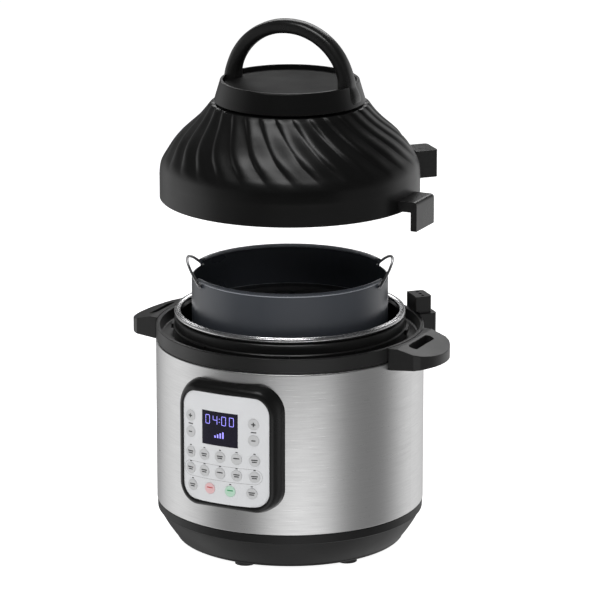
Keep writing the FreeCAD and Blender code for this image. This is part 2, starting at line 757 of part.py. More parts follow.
def condensation_cup():
    """The cup at the rear that catches drips, and the bracket it slides out of."""
    half = "cup_width / 2"
    shape = extruded(rounded_oblong("cup_width", "cup_height", "8", "cup_bottom + cup_height / 2"),
                     "cup_back - cup_front", side="One side", offset="-cup_front", back=True)
    hollow = extruded(rounded_oblong("cup_width - 4", "cup_height - 4", "6", "cup_bottom + cup_height / 2"),
                      "cup_back - cup_front - 4", side="One side", offset="-cup_front - 2", back=True)
    mouth = block("-16", "16", "cup_front + 2.5", "cup_back - 2.5", "cup_bottom + cup_height - 6",
                  "cup_bottom + cup_height + 5")
    keep("condensation_cup", cut(shape, hollow, mouth))
    top = "cup_bottom + cup_height"
    rail = block(f"-{half} - 5", f"{half} + 5", "shell_radius * 0.9", "cup_front + 7",
                 f"{top} + slack + 0.2", f"{top} + 6")
    keep("cup_bracket", cut(rail, cylinder("shell_radius + slack", "400")))


def basket_body():
    """The perforated crisping basket: wall, rolled bead, and a wall cut lower under each wire handle."""
    outer, inner = "basket_radius", "(basket_radius - basket_wall)"
    rim = f"({BASKET_RIM} - bead_radius)"
    wall = turned([
        ("basket_radius - 18", "basket_floor"),
        ("basket_radius - 8", "basket_floor", "8", "right"),
        (outer, "basket_floor + 8"),
        (outer, f"{rim} - bead_radius"),
        (f"{outer} + 0.1", f"{rim} - bead_radius"),
        (f"{outer} + 0.1", f"{rim}"),
        (inner, rim),
        (inner, "basket_floor + 8", "8 - basket_wall", "left"),
        ("basket_radius - 8", "basket_floor + basket_wall"),
        ("basket_radius - 18", "basket_floor + basket_wall"),
    ])
    bead = torus("basket_radius - basket_wall / 2", "bead_radius", rim)
    notches = [
        block("wire_pivot - 10", "basket_radius + 10", "9 - wire_chord", "wire_chord - 9",
              f"{BASKET_RIM} - notch_depth", f"{BASKET_RIM} + 5", yaw=yaw)
        for yaw in (0, 180)
    ]
    pivots = [
        cylinder("wire_radius + 0.25", "2 * basket_radius", x, "-basket_radius", f"{BASKET_RIM} - wire_drop",
                 roll="-90")
        for x in ("wire_pivot", "-wire_pivot")
    ]
    body = cut(fuse(wall, bead), *notches, *pivots)
    keep("basket", place(group(body), yaw="basket_turn"))


def hole_ring(radius, depth, ring, count, start, z):
    """Drills for a ring of holes, the first one at the angle start."""
    angles = [360 * n / count + start for n in range(count)]
    return [cylinder(radius, depth, f"{ring} * cos({a})", f"{ring} * sin({a})", z) for a in angles]


def basket_base():
    """The perforated plate that drops into the basket's bottom."""
    low = "basket_floor + basket_wall + 0.2"
    plate = turned([
        ("0", low),
        ("basket_radius - 12", low),
        ("basket_radius - 10", f"{low} + 4"),
        ("basket_radius - 12", f"{low} + 4"),
        ("basket_radius - 13.5", f"{low} + 1.5"),
        ("0", f"{low} + 1.5"),
    ])
    holes = []
    for ring, count in ((18, 6), (34, 12), (50, 18), (66, 24), (80, 28)):
        holes += hole_ring("3.4", "4", ring, count, 0, f"{low} - 1")
    keep("basket_base", cut(plate, *holes))


def broil_tray():
    """The tray that clips in under the basket's rim: a slotted disc inside a raised ring."""
    height = f"{BASKET_RIM} - tray_drop"
    edge = "basket_radius - basket_wall - 0.6"
    disc = turned([
        ("0", f"{height} - 5"),
        ("tray_radius - 2", f"{height} - 5"),
        ("tray_radius + 1", f"{height} - 1.6"),
        (edge, f"{height} - 1.6"),
        (edge, height),
        ("tray_radius", height),
        ("tray_radius - 2.6", f"{height} - 3.6"),
        ("0", f"{height} - 3.6"),
    ])
    holes = []
    for ring, count in ((20, 6), (38, 12), (56, 18), (74, 24)):
        holes += hole_ring("4.2", "6", ring, count, 10, f"{height} - 7")
    keep("broil_tray", cut(disc, *holes))


def wire_handle(label, turn):
    """A sprung wire loop: an arch outside the wall, leaning outwards, its two ends in holes in the wall."""
    arch = "((wire_chord^2 + wire_rise^2) / (2 * wire_rise))"
    half = f"asin(wire_chord / {arch})"
    # The arch is drawn lying flat, rising along +X, then stood up so that it leans outwards.
    loop = place(torus(arch, "wire_radius", "0", sweep=f"2 * {half}"), yaw=f"-{half}")
    flat = place(group(loop), f"wire_rise - {arch}")
    ends = [
        cylinder("wire_radius", "wire_end", "0", "wire_chord + 1.5", "0", roll="90"),
        cylinder("wire_radius", "wire_end", "0", "-wire_chord - 1.5", "0", roll="-90"),
    ]
    stood = place(group(fuse(flat, *ends)), "wire_pivot", "0", f"{BASKET_RIM} - wire_drop",
                  pitch="wire_lean - 90")
    keep(label, place(group(stood), yaw=f"basket_turn + {turn}"))


def lid_shell():
    """The dome of the lid: a straight skirt, a round shoulder and a slope that flares to the collar."""
    def profile(inset):
        side = f"(lid_radius - {inset})"
        bend = f"(shoulder_radius - {inset})"
        start = "(lid_bottom + skirt_height)"
        turn_x = f"({side} - {bend} + {bend} * 0.7071)"
        turn_z = f"({start} + {bend} * 0.7071)"
        top_z = f"({DOME_TOP} - {inset})"
        slope_x = f"(collar_radius + 10 - {inset})"
        slope_z = f"({turn_z} + {turn_x} - {slope_x})"
        return [
            (side, "lid_bottom"),
            (side, start, bend, "right"),
            (turn_x, turn_z),
            (slope_x, slope_z),
            (f"collar_radius + 1.4 - {inset}", top_z),
        ]
    outside = profile("0")
    side, bend, shoulder, slope, top = profile("lid_wall")
    inside = [top, slope, (*shoulder, bend[2], "left"), bend[:2], side]
    opening = [("dome_opening", DOME_TOP), ("dome_opening", f"{DOME_TOP} - lid_wall")]
    keep("lid_shell", turned(outside + opening + inside))


def lid_collar():
    """The ring on top of the dome, standing on an inner wall so that air leaves by the gap under it."""
    keep("lid_collar", turned([
        ("collar_radius", COLLAR_LOW),
        ("collar_top_radius", f"{COLLAR_HIGH} - 1.2", "1.2", "right"),
        ("collar_top_radius - 1.2", COLLAR_HIGH),
        ("collar_top_radius - 3.2", COLLAR_HIGH),
        ("collar_top_radius - 4", f"{COLLAR_HIGH} - well_depth"),
        ("collar_top_radius - 10", f"{COLLAR_HIGH} - well_depth"),
        ("collar_top_radius - 10", f"{DOME_TOP} + slack"),
        ("collar_top_radius - 7", f"{DOME_TOP} + slack"),
        ("collar_top_radius - 7", f"{COLLAR_LOW} + 8"),
        ("collar_radius - 4.6", f"{COLLAR_LOW} + 2"),
        ("collar_radius - 4", COLLAR_LOW),
    ]))


def lid_top_plate():
    """The recessed plate inside the collar."""
    low = f"{COLLAR_HIGH} - well_depth + slack"
    keep("lid_top_plate", turned([
        ("0", f"{low} + 1"),
        ("collar_top_radius - 16", low),
        ("collar_top_radius - 4.6", low),
        ("collar_top_radius - 4.6", f"{low} + 1.8"),
        ("collar_top_radius - 14", f"{low} + 2"),
        ("0", f"{low} + 3.4"),
    ]))


def lid_handle():
    """The arch over the lid, ending in two bosses that wrap the outside of the collar."""
    half = "arch_width / 2"
    inner = "(arch_radius - arch_thick)"
    section = turned([
        (inner, f"-{half} + 3"),
        (f"{inner} + 3", f"-{half}"),
        ("arch_radius - 4", f"-{half}", "6", "right"),
        ("arch_radius", f"-{half} + 5"),
        ("arch_radius", f"{half} - 5", "6", "right"),
        ("arch_radius - 4", half),
        (f"{inner} + 3", half),
        (inner, f"{half} - 3"),
    ])
    place(section, z="lid_bottom + arch_centre", roll="-90")
    upper = block("-arch_radius - 5", "arch_radius + 5", "-40", "40", COLLAR_LOW, "lid_bottom + 240")
    bosses = [
        cylinder("boss_radius", "collar_height + 3", x, "0", COLLAR_LOW)
        for x in ("arch_radius - 4", "4 - arch_radius")
    ]
    clearance = fuse(
        cone("collar_radius + slack", "collar_top_radius + slack", "collar_height - 1.2", COLLAR_LOW),
        cylinder("collar_top_radius + slack", "1.6", z=f"{COLLAR_HIGH} - 1.3"),
        cylinder("collar_radius + 1.4 + slack", "10", z=f"{COLLAR_LOW} - 9.9"),
    )
    keep("lid_handle", cut(fuse(common(section, upper), *bosses), clearance))


def lid_hook():
    """The catch at the lid's right: an arm from the skirt and a prong that enters the handle's slot."""
    arm_low = "lid_bottom + 3"
    arm_high = "lid_bottom + 3 + hook_arm"
    hook = extruded([
        ("lid_radius - 12", arm_low),
        ("hook_reach - hook_thick", arm_low),
        ("hook_reach - hook_thick", "lid_bottom - hook_drop"),
        ("hook_reach", "lid_bottom - hook_drop"),
        ("hook_reach", f"{arm_high} - 4", "4", "right"),
        ("hook_reach - 4", arm_high),
        ("lid_radius - 12", arm_high),
    ], "hook_width")
    keep("lid_hook", cut(hook, cylinder("lid_radius + 0.1", "80", z="lid_bottom - 40")))


def lid_plug():
    """The hood at the lid's rear right that drops over the tower, and its three pins."""
    high = "lid_bottom + hood_height"
    hood = rounded_tower("lid_radius * 0.9", "hood_outer", "hood_width", "lid_bottom + hood_low", high, "4")
    cavity = rounded_tower("lid_radius * 0.9", "tower_outer + 0.8", "tower_width + 1.6",
                           "lid_bottom - 5", "lid_bottom + hood_cavity", "4")
    dome = cylinder("lid_radius + 0.1", "200", z="lid_bottom - 40")
    keep("lid_plug_hood", cut(hood, cavity, dome))
    keep("lid_plug_pins", group(*lid_pins("pin_radius", "hood_cavity - hood_low", "lid_bottom + hood_low")))


def lid_inside():
    """Inside the lid: the steel liner, heating coil, guard, fan and motor."""
    lip = "lid_bottom + 14.6"
    outer = "lid_radius - lid_wall - 0.4"
    keep("lid_liner", turned([
        ("112", lip),
        (outer, lip),
        (outer, f"{lip} + 1.2"),
        ("113.2", f"{lip} + 1.2"),
        ("108", "lid_bottom + 44"),
        ("90", "lid_bottom + 56"),
        ("6", "lid_bottom + 56"),
        ("6", "lid_bottom + 54.8"),
        ("89.5", "lid_bottom + 54.8"),
        ("106.8", "lid_bottom + 43.4"),
    ]))
    coil_height = "lid_bottom + 32"
    rings = [torus(radius, "3.2", coil_height) for radius in ("84", "70", "56")]
    bridge = cylinder("2.4", "30", "55", "0", coil_height, pitch="90")
    keep("heating_coil", fuse(*rings, bridge))
    bars = [torus(radius, "1.2", "lid_bottom + 22") for radius in ("24", "42", "60", "78", "96")]
    spokes = [
        cylinder("1.2", "101", "0", "0", "lid_bottom + 22", yaw=f"{angle}", pitch="90")
        for angle in range(0, 360, 60)
    ]
    keep("element_guard", fuse(*bars, *spokes))
    hub = cylinder("10", "9", z="lid_bottom + 40")
    disc = cylinder("fan_radius * 0.6", "1.2", z="lid_bottom + 47.8")
    blades = []
    for n in range(SIZES["fan_blades"]):
        blade = block("8", "fan_radius", "-0.6", "0.6", "lid_bottom + 41", "lid_bottom + 48.4",
                      yaw=n * 360 / SIZES["fan_blades"])
        blades.append(blade)
    bore = cylinder("shaft_radius", "30", z="lid_bottom + 30")
    keep("convection_fan", cut(fuse(hub, disc, *blades), bore))
    keep("fan_shaft", cylinder("shaft_radius - 0.05", "50", z="lid_bottom + 39"))
    keep("fan_motor", turned([
        ("shaft_radius + 0.4", "lid_bottom + 57"),
        ("30", "lid_bottom + 57"),
        ("30", "lid_bottom + 78"),
        ("24", "lid_bottom + 82"),
        ("shaft_radius + 0.4", "lid_bottom + 82"),
    ]))
    cool = [
        block("7", "40", "-0.6", "0.6", "lid_bottom + 84.4", "lid_bottom + 90", yaw=n * 60) for n in range(6)
    ]
    keep("cooling_fan", cut(fuse(cylinder("9", "5.6", z="lid_bottom + 84.4"), *cool),
                            cylinder("shaft_radius", "30", z="lid_bottom + 70")))


def build():
    outer_shell()
    base_housing()
    feet()
    top_housing()
    side_handle("right_handle", "0")
    side_handle("left_handle", "180")
    locking_ring()
    outer_pot()
    heating_plate()
    temperature_sensor()
    inner_pot()
    power_parts()
    lid_power_socket()
    panel_bezel()
    panel_faceplate()
    display()
    control_board()
    touch_keys()
    condensation_cup()
    basket_body()
    basket_base()
    broil_tray()
    wire_handle("right_wire_handle", "0")
    wire_handle("left_wire_handle", "180")
    lid_shell()
    lid_collar()
    lid_top_plate()
    lid_handle()
    lid_hook()
    lid_plug()
    lid_inside()


def check_and_export():
    doc.recompute()
    failed = [f"{obj.Name} ({obj.Label})" for obj in doc.Objects if {"Invalid", "Error"} & set(obj.State)]
    if failed:
        raise SystemExit("failed: " + ", ".join(failed))
    os.makedirs("parts", exist_ok=True)
    for label, obj in NODES.items():
        if obj.Shape.isNull() or not obj.Shape.isValid() or not obj.Shape.Solids:
            raise SystemExit(f"{label} has no valid solid")
        obj.Shape.exportStep(f"parts/{label}.step")
    print(len(NODES), "nodes")


build()
check_and_export()
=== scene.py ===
import math

import bpy
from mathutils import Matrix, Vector


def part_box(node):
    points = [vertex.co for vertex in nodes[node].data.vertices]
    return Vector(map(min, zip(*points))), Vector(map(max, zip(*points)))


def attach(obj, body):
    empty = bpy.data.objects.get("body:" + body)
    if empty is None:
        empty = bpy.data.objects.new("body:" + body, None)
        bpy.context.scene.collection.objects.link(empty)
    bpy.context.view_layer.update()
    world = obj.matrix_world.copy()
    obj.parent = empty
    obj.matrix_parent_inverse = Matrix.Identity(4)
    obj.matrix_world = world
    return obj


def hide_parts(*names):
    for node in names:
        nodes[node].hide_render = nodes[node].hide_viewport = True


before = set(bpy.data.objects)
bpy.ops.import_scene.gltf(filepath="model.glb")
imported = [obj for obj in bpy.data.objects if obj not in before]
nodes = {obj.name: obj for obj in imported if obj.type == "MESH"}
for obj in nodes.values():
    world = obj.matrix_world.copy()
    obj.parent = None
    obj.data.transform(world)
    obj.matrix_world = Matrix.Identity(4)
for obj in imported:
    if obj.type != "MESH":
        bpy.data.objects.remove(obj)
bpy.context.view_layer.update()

# An electric pressure cooker lifted apart: cooker, crisping basket and air-frying lid.
# Lengths are in metres, angles in degrees unless a name says otherwise. The panel faces -Y.

MM = 0.001


# ---------------------------------------------------------------- shader tools

def feed(tree, node, **inputs):
    """Fills inputs of a node, by name or as _0, _1, with a value or the socket that feeds them."""
    for word, value in inputs.items():
        socket = node.inputs[int(word[1:])] if word[0] == "_" else node.inputs[word.replace("_", " ")]
        if isinstance(value, bpy.types.NodeSocket):
            tree.links.new(value, socket)
        else:
            socket.default_value = value


def add(tree, kind, settings=None, **inputs):
    """A shader node with its settings made and its inputs fed."""
    made = tree.nodes.new("ShaderNode" + kind)
    for word, value in (settings or {}).items():
        setattr(made, word, value)
    feed(tree, made, **inputs)
    return made


def effect(name, takes, gives):
    """A shader node group: takes is (name, kind, default) rows, gives is (name, kind) rows."""
    tree = bpy.data.node_groups.new(name, "ShaderNodeTree")
    for word, kind, value in takes:
        socket = tree.interface.new_socket(name=word, in_out="INPUT", socket_type="NodeSocket" + kind)
        if value is not None:
            socket.default_value = value
    for word, kind in gives:
        tree.interface.new_socket(name=word, in_out="OUTPUT", socket_type="NodeSocket" + kind)
    return tree, tree.nodes.new("NodeGroupInput").outputs, tree.nodes.new("NodeGroupOutput").inputs


def use(tree, group, **inputs):
    """One use of an effect in a material, and its outputs."""
    return add(tree, "Group", {"node_tree": group}, **inputs).outputs


def math_node(tree, operation, *values):
    """The result of one sum on values or sockets."""
    made = add(tree, "Math", {"operation": operation}, **{f"_{n}": v for n, v in enumerate(values)})
    return made.outputs[0]


def spread(tree, value, low, high, to_low=0.0, to_high=1.0):
    """value, moved from one range to another and held inside it."""
    made = add(tree, "MapRange", _0=value, _1=low, _2=high, _3=to_low, _4=to_high)
    return made.outputs[0]


def mixed(tree, share, first, second):
    """The first colour, with a share of the second."""
    made = add(tree, "Mix", {"data_type": "RGBA"}, _0=share, _6=first, _7=second)
    return made.outputs[2]


# ---------------------------------------------------------------- effects shared by materials

def make_painted_edge_highlight():
    """Softens hard edges in the normal, and gives a mask of where they are, for a painted highlight that
    lightens edges.
    """
    tree, given, out = effect(
        "edge wear",
        [("Radius", "Float", 0.0006), ("Amount", "Float", 1.0)],
        [("Normal", "Vector"), ("Mask", "Float")],
    )
    rounded = add(tree, "Bevel", {"samples": 4}, Radius=given["Radius"])
    face = add(tree, "NewGeometry")
    align = add(tree, "VectorMath", {"operation": "DOT_PRODUCT"}, _0=rounded.outputs[0],
                _1=face.outputs["Normal"])
    turned = math_node(tree, "SUBTRACT", 1.0, align.outputs["Value"])
    where = add(tree, "TexCoord")
    patchy = add(tree, "TexNoise", Vector=where.outputs["Object"], Scale=140.0, Detail=3.0)
    broken = spread(tree, patchy.outputs[0], 0.35, 0.65, 0.3, 1.0)
    # The mask is a painted edge highlight: a lighter colour along every edge, broken into patches by
    # noise.
    mask = math_node(tree, "MULTIPLY", spread(tree, turned, 0.02, 0.22), broken)
    tree.links.new(rounded.outputs[0], out["Normal"])
    tree.links.new(math_node(tree, "MULTIPLY", mask, given["Amount"]), out["Mask"])
    return tree


def make_moulded_skin():
    """The fine pebble of a moulded plastic face, and a slow drift in how shiny it is."""
    tree, given, out = effect(
        "moulded skin",
        [("Fineness", "Float", 2600.0), ("Depth", "Float", 0.1), ("Normal", "Vector", None)],
        [("Normal", "Vector"), ("Pebble", "Float"), ("Drift", "Float")],
    )
    where = add(tree, "TexCoord").outputs["Object"]
    pebble = add(tree, "TexNoise", Vector=where, Scale=given["Fineness"], Detail=2.0, Roughness=0.6)
    bump = add(tree, "Bump", Strength=given["Depth"], Distance=0.0001, Height=pebble.outputs[0],
               Normal=given["Normal"])
    drift = add(tree, "TexNoise", Vector=where, Scale=18.0, Detail=3.0)
    tree.links.new(bump.outputs[0], out["Normal"])
    tree.links.new(pebble.outputs[0], out["Pebble"])
    tree.links.new(spread(tree, drift.outputs[0], 0.3, 0.7), out["Drift"])
    return tree


def make_brushing():
    """Fine lines running level round the Z axis, as a belt leaves them on a steel band."""
    tree, given, out = effect(
        "brushing",
        [("Fineness", "Float", 1400.0), ("Length", "Float", 5.0), ("Depth", "Float", 0.1),
         ("Normal", "Vector", None)],
        [("Normal", "Vector"), ("Lines", "Float")],
    )
    parts = add(tree, "SeparateXYZ", _0=add(tree, "TexCoord").outputs["Object"])
    turn = math_node(tree, "ARCTAN2", parts.outputs[1], parts.outputs[0])
    reach = add(tree, "VectorMath", {"operation": "LENGTH"})
    flat = add(tree, "CombineXYZ", _0=parts.outputs[0], _1=parts.outputs[1])
    tree.links.new(flat.outputs[0], reach.inputs[0])
    along = math_node(tree, "MULTIPLY", turn, given["Length"])
    up = math_node(tree, "MULTIPLY", parts.outputs[2], given["Fineness"])
    outward = math_node(tree, "MULTIPLY", reach.outputs["Value"], given["Fineness"])
    grid = add(tree, "CombineXYZ", _0=along, _1=outward, _2=up)
    fine = add(tree, "TexNoise", Vector=grid.outputs[0], Scale=1.0, Detail=3.0, Roughness=0.65)
    bump = add(tree, "Bump", Strength=given["Depth"], Distance=0.0001, Height=fine.outputs[0],
               Normal=given["Normal"])
    tree.links.new(bump.outputs[0], out["Normal"])
    tree.links.new(fine.outputs[0], out["Lines"])
    return tree


PAINTED_EDGE_HIGHLIGHT = make_painted_edge_highlight()
MOULDED_SKIN = make_moulded_skin()
BRUSHING = make_brushing()


def material(name):
    """A new material, its node tree and its shader."""
    made = bpy.data.materials.new(name)
    made.use_nodes = True
    shader = made.node_tree.nodes["Principled BSDF"]
    return made, made.node_tree, shader


def shade(grey, blue=0.0):
    """A neutral colour, or one leaning a little to blue."""
    return (grey * (1 - blue), grey, grey * (1 + 2 * blue), 1.0)


def plastic(name, colour, roughness, edge=0.6, edge_highlight_colour=None, fineness=2600.0, depth=0.12, drift=0.05,
            edge_highlight_share=0.35, specular=0.5):
    """A moulded or painted face: pebbled, with slightly lighter edges from a painted edge highlight."""
    made, tree, shader = material(name)
    edge_highlight_colour = edge_highlight_colour or tuple(min(1.0, c * 1.6 + 0.006) for c in colour[:3]) + (1.0,)
    edges = use(tree, PAINTED_EDGE_HIGHLIGHT, Radius=edge * MM, Amount=edge_highlight_share)
    skin = use(tree, MOULDED_SKIN, Fineness=fineness, Depth=depth, Normal=edges["Normal"])
    mottled = mixed(tree, math_node(tree, "MULTIPLY", skin["Drift"], 0.25), colour,
                    tuple(c * 0.8 for c in colour[:3]) + (1.0,))
    # Base colour: lighter along the edges as a painted highlight, through the edge mask.
    feed(tree, shader, Base_Color=mixed(tree, edges["Mask"], mottled, edge_highlight_colour),
         Roughness=spread(tree, skin["Drift"], 0.0, 1.0, roughness - drift, roughness + drift),
         Normal=skin["Normal"], Specular_IOR_Level=specular)
    return made


def brushed_metal(name, colour, roughness, length=5.0, fineness=1400.0, depth=0.15, streak=0.12,
                  anisotropy=0.6, edge=0.4):
    """Steel with fine level lines, which stretch its reflections upright."""
    made, tree, shader = material(name)
    edges = use(tree, PAINTED_EDGE_HIGHLIGHT, Radius=edge * MM, Amount=0.6)
    lines = use(tree, BRUSHING, Fineness=fineness, Length=length, Depth=depth, Normal=edges["Normal"])
    share = spread(tree, lines["Lines"], 0.25, 0.75)
    darker = tuple(c * (1 - streak) for c in colour[:3]) + (1.0,)
    feed(tree, shader, Base_Color=mixed(tree, share, darker, colour),
         Roughness=spread(tree, share, 0.0, 1.0, roughness + 0.06, roughness - 0.04),
         Normal=lines["Normal"], Metallic=1.0,
         Tangent=add(tree, "Tangent", {"direction_type": "RADIAL", "axis": "Z"}).outputs[0])
    shader.inputs["Anisotropic"].default_value = anisotropy
    return made


def plain_metal(name, colour, roughness, edge=0.3, drift=0.05, fineness=900.0, depth=0.05):
    """Cast, pressed or polished metal with a faint unevenness, and slightly lighter edges from a painted
    edge highlight.
    """
    made, tree, shader = material(name)
    edges = use(tree, PAINTED_EDGE_HIGHLIGHT, Radius=edge * MM, Amount=0.5)
    skin = use(tree, MOULDED_SKIN, Fineness=fineness, Depth=depth, Normal=edges["Normal"])
    lighter = tuple(min(1.0, c * 1.15) for c in colour[:3]) + (1.0,)
    # Base colour: lighter along the edges as a painted highlight, through the edge mask.
    feed(tree, shader, Base_Color=mixed(tree, edges["Mask"], colour, lighter),
         Roughness=spread(tree, skin["Drift"], 0.0, 1.0, roughness - drift, roughness + drift),
         Normal=skin["Normal"], Metallic=1.0)
    return made


def coated_pot(name, coating, rim_height):
    """A dark coating inside and outside the pot, with bare brushed steel left at the rim."""
    made = brushed_metal(name, (0.80, 0.80, 0.81, 1), 0.17, length=3.0, depth=0.06, streak=0.06,
                         anisotropy=0.3, edge=0.3)
    tree = made.node_tree
    shader = tree.nodes["Principled BSDF"]
    way = add(tree, "SeparateXYZ", _0=add(tree, "TexCoord").outputs["Object"])
    bare = spread(tree, way.outputs[2], rim_height - 1.5 * MM, rim_height - 1.0 * MM)
    steel = shader.inputs["Base Color"].links[0].from_socket
    tree.links.new(mixed(tree, bare, coating, steel), shader.inputs["Base Color"])
    tree.links.new(bare, shader.inputs["Metallic"])
    return made


def lit(name, colour, strength):
    """A display segment that gives its own light."""
    made, tree, shader = material(name)
    where = add(tree, "TexCoord").outputs["Object"]
    grain = add(tree, "TexNoise", Vector=where, Scale=900.0, Detail=1.0)
    dimmer = tuple(c * 0.85 for c in colour[:3]) + (1.0,)
    glow = mixed(tree, grain.outputs[0], colour, dimmer)
    feed(tree, shader, Base_Color=glow, Emission_Color=glow, Emission_Strength=strength, Roughness=0.4)
    return made


# ---------------------------------------------------------------- finishes

FINISHES = {
    "band steel": brushed_metal("band steel", (0.80, 0.80, 0.80, 1), 0.30, depth=0.12),
    "pot coating": coated_pot("pot coating", shade(0.012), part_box("inner_pot")[1].z),
    "rim steel": plain_metal("rim steel", (0.95, 0.95, 0.96, 1), 0.26, edge=0.01, depth=0.0),
    "pressed steel": plain_metal("pressed steel", (0.55, 0.55, 0.56, 1), 0.32),
    "plate aluminium": brushed_metal("plate aluminium", (0.6, 0.6, 0.61, 1), 0.35, length=2.0,
                                     fineness=2500.0, anisotropy=0.2),
    "wire steel": plain_metal("wire steel", (0.42, 0.42, 0.43, 1), 0.3),
    "coil sheath": plain_metal("coil sheath", (0.16, 0.15, 0.14, 1), 0.5, drift=0.1),
    "zinc steel": plain_metal("zinc steel", (0.5, 0.5, 0.5, 1), 0.38),
    "contact brass": plain_metal("contact brass", (0.72, 0.55, 0.28, 1), 0.3),
    "housing black": plastic("housing black", shade(0.006), 0.46, edge=0.7, specular=0.32),
    "ring black": plastic("ring black", shade(0.008), 0.36, edge=0.8),
    "lock ring black": plastic("lock ring black", shade(0.006), 0.34, edge=0.5),
    "handle black": plastic("handle black", shade(0.008), 0.38, edge=1.2),
    "lid black": plastic("lid black", shade(0.003), 0.34, edge=0.5, depth=0.08, fineness=3200.0,
                         edge_highlight_share=0.15, specular=0.42),
    "arch black": plastic("arch black", shade(0.006), 0.30, edge=1.6),
    "collar black": plastic("collar black", shade(0.003), 0.33, edge=0.8, edge_highlight_share=0.15, specular=0.3),
    "top plate black": plastic("top plate black", shade(0.004), 0.6, edge=0.4, specular=0.12),
    "hook black": plastic("hook black", shade(0.005), 0.28, edge=1.5),
    "bezel black": plastic("bezel black", shade(0.005), 0.3, edge=2.2, edge_highlight_share=0.15, specular=0.4),
    "basket coating": plastic("basket coating", shade(0.042, 0.10), 0.32, edge=0.5, fineness=1500.0,
                              depth=0.15, drift=0.05, specular=0.5),
    # A light grey far above the basket's own coating: a painted highlight line along the rolled bead and
    # the tray's edge.
    "bead coating": plastic("bead coating", shade(0.3, 0.05), 0.3, edge=0.01, edge_highlight_share=0.0, specular=0.8),
    "tray coating": plastic("tray coating", shade(0.02, 0.04), 0.42, edge=0.4, fineness=1500.0, depth=0.2),
    "foot rubber": plastic("foot rubber", shade(0.02), 0.75, edge=0.8, fineness=1200.0, depth=0.4),
    # The lighter greys given for edges below are the colours of the painted edge highlight.
    "faceplate silver": plastic("faceplate silver", shade(0.56, 0.01), 0.36, edge=0.2, edge_highlight_share=0.1,
                                edge_highlight_colour=shade(0.62), depth=0.05, drift=0.03),
    "key grey": plastic("key grey", shade(0.43, 0.005), 0.4, edge=0.3, edge_highlight_share=0.2, edge_highlight_colour=shade(0.5)),
    "key red": plastic("key red", (0.60, 0.38, 0.39, 1), 0.4, edge=0.3, edge_highlight_share=0.2),
    "key green": plastic("key green", (0.36, 0.53, 0.42, 1), 0.4, edge=0.3, edge_highlight_share=0.2),
    "display glass": plastic("display glass", (0.009, 0.008, 0.016, 1), 0.12, edge=0.2, depth=0.0,
                             edge_highlight_share=0.0, drift=0.02),
    "board green": plastic("board green", (0.03, 0.14, 0.06, 1), 0.45, edge=0.2),
    "smoke plastic": plastic("smoke plastic", shade(0.07), 0.25, edge=0.8),
    "print dark": plastic("print dark", shade(0.045), 0.5, edge=0.05, edge_highlight_share=0.0),
    "print grey": plastic("print grey", shade(0.22), 0.5, edge=0.05, edge_highlight_share=0.0),
    "print red": plastic("print red", (0.42, 0.05, 0.05, 1), 0.5, edge=0.05, edge_highlight_share=0.0),
    "print green": plastic("print green", (0.03, 0.26, 0.10, 1), 0.5, edge=0.05, edge_highlight_share=0.0),
    "lit digits": lit("lit digits", (0.26, 0.23, 0.80, 1), 1.15),
}

NODE_FINISH = {
    "outer_shell": "band steel",
    "base_housing": "housing black",
    "rubber_feet": "foot rubber",
    "base_screws": "zinc steel",
    "top_housing": "ring black",
    "locking_ring": "lock ring black",
    "left_handle": "handle black",
    "right_handle": "handle black",
    "outer_pot": "pressed steel",
    "heating_plate": "plate aluminium",
    "temperature_sensor": "plate aluminium",
    "sensor_spring": "wire steel",
    "inner_pot": "pot coating",
    "power_board": "board green",
    "control_board": "board green",
    "power_inlet": "housing black",
    "inlet_blades": "contact brass",
    "lid_power_socket": "ring black",
    "panel_bezel": "bezel black",
    "panel_faceplate": "faceplate silver",
    "display_window": "display glass",
    "condensation_cup": "smoke plastic",
    "cup_bracket": "housing black",
    "basket": "basket coating",
    "basket_base": "tray coating",
    "broil_tray": "tray coating",
    "left_wire_handle": "wire steel",
    "right_wire_handle": "wire steel",
    "lid_shell": "lid black",
    "lid_collar": "collar black",
    "lid_top_plate": "top plate black",
    "lid_handle": "arch black",
    "lid_hook": "hook black",
    "lid_plug_hood": "hook black",
    "lid_plug_pins": "contact brass",
    "lid_liner": "pressed steel",
    "heating_coil": "coil sheath",
    "element_guard": "wire steel",
    "fan_motor": "zinc steel",
    "convection_fan": "pressed steel",
    "cooling_fan": "pressed steel",
    "fan_shaft": "zinc steel",
}


KEY = "touch_key_"
KEY_NAMES = [node[len(KEY):] for node in nodes if node.startswith(KEY)]


def finish_of(node):
    """The finish of a CAD node: the cancel and start keys are tinted, the others grey."""
    if node.startswith(KEY):
        tint = {"cancel": "key red", "start": "key green"}.get(node[len(KEY):], "key grey")
        return FINISHES[tint]
    return FINISHES[NODE_FINISH[node]]


def dress_frame():
    """Gives every CAD node its finish."""
    for name, obj in nodes.items():
        obj.data.materials.clear()
        obj.data.materials.append(finish_of(name))


# ---------------------------------------------------------------- mesh tools

def piece(name, mesh, body, finish, replaced=()):
    """Puts a finished mesh in the scene and on its body."""
    obj = bpy.data.objects.new(name, mesh)
    bpy.context.scene.collection.objects.link(obj)
    obj.data.materials.append(FINISHES[finish])
    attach(obj, body)
    if replaced:
        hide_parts(*replaced)
    return obj


def grid_mesh(name, rows, closed_along=False):
    """A smooth mesh over rows of points. Each row is a closed loop, and the rows follow one another."""
    mesh = bpy.data.meshes.new(name)
    count = len(rows[0])
    points = [p for row in rows for p in row]
    faces = []
    for r in range(len(rows) if closed_along else len(rows) - 1):
        low, high = r * count, (r + 1) % len(rows) * count
        for c in range(count):
            after = (c + 1) % count
            faces.append((low + c, low + after, high + after, high + c))
    mesh.from_pydata(points, [], faces)
    mesh.polygons.foreach_set("use_smooth", [True] * len(faces))
    mesh.update()
    return mesh


